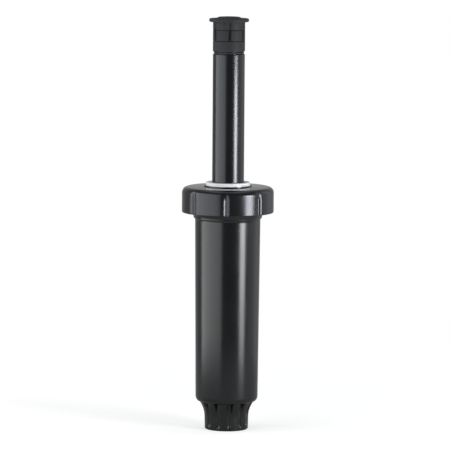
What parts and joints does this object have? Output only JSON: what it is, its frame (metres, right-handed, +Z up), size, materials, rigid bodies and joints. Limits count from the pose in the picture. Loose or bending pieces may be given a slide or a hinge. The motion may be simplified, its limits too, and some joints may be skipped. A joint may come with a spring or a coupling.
{
  "type": "pop up spray sprinkler",
  "caption": "Pop-up spray sprinkler: tapered case with a threaded inlet, lobed screw cap, sliding riser with seal, spring and ratchet, and an adjustable spray nozzle.",
  "frame": {"origin": "middle of the inlet's bottom face, on the axis of the case", "axes": "+Z up along the case and the riser, -Y is the front seen in the picture, +X to its right"},
  "size_m": [0.0572, 0.0572, 0.2572],
  "materials": {
    "case_black": "black moulded plastic, semi-gloss",
    "cap_black": "black moulded plastic, semi-gloss",
    "riser_black": "smooth black plastic",
    "nozzle_black": "matte black moulded plastic",
    "inner_grey": "grey moulded plastic",
    "ring_white": "white acetal",
    "rubber": "black soft rubber",
    "steel": "stainless steel"
  },
  "bodies": {
    "case": {"body_case": "case_black", "cap_gasket": "rubber"},
    "top_set": {"seal_carrier": "inner_grey", "wiper_seal": "rubber", "guide_ring": "ring_white", "retraction_spring": "steel"},
    "screw_cap": {"cap": "cap_black"},
    "ratchet": {"ratchet_ring": "inner_grey", "spring_washer": "inner_grey"},
    "riser": {"riser_tube": "riser_black", "ratchet_clip": "inner_grey", "nozzle_seal": "rubber", "nozzle_base": "nozzle_black", "filter_screen": "inner_grey", "collar_ring": "rubber", "deflector": "nozzle_black"},
    "arc_sleeve": {"arc_collar": "nozzle_black"},
    "screw_seat": {"screw_seal": "rubber"},
    "adjusting_screw": {"flow_screw": "steel"}
  },
  "joints": [
    {"name": "cap_lift", "type": "slide", "parent": "case", "child": "top_set", "axis": [0, 0, 1], "range_m": [0, 0.008]},
    {"name": "cap_unscrew", "type": "hinge", "parent": "top_set", "child": "screw_cap", "pos_m": [0, 0, 0.143], "axis": [0, 0, 1], "range_deg": [0, 720]},
    {"name": "riser_pop_up", "type": "slide", "parent": "top_set", "child": "ratchet", "axis": [0, 0, 1], "range_m": [-0.0992, 0], "deforming": ["retraction_spring"]},
    {"name": "riser_turn", "type": "hinge", "parent": "ratchet", "child": "riser", "pos_m": [0, 0, 0.1263], "axis": [0, 0, 1], "continuous": true},
    {"name": "arc_adjust", "type": "hinge", "parent": "riser", "child": "arc_sleeve", "pos_m": [0, 0, 0.2459], "axis": [0, 0, 1], "range_deg": [0, 330]},
    {"name": "flow_travel", "type": "slide", "parent": "riser", "child": "screw_seat", "axis": [0, 0, 1], "range_m": [-0.0024, 0]},
    {"name": "flow_turn", "type": "hinge", "parent": "screw_seat", "child": "adjusting_screw", "pos_m": [0, 0, 0.2563], "axis": [0, 0, 1], "range_deg": [-1080, 0]}
  ],
  "couplings": [
    {"joint": "cap_lift", "follows": "cap_unscrew", "m_per_rad": 0.00063661},
    {"joint": "flow_turn", "follows": "flow_travel", "rad_per_m": 7853.9}
  ]
}
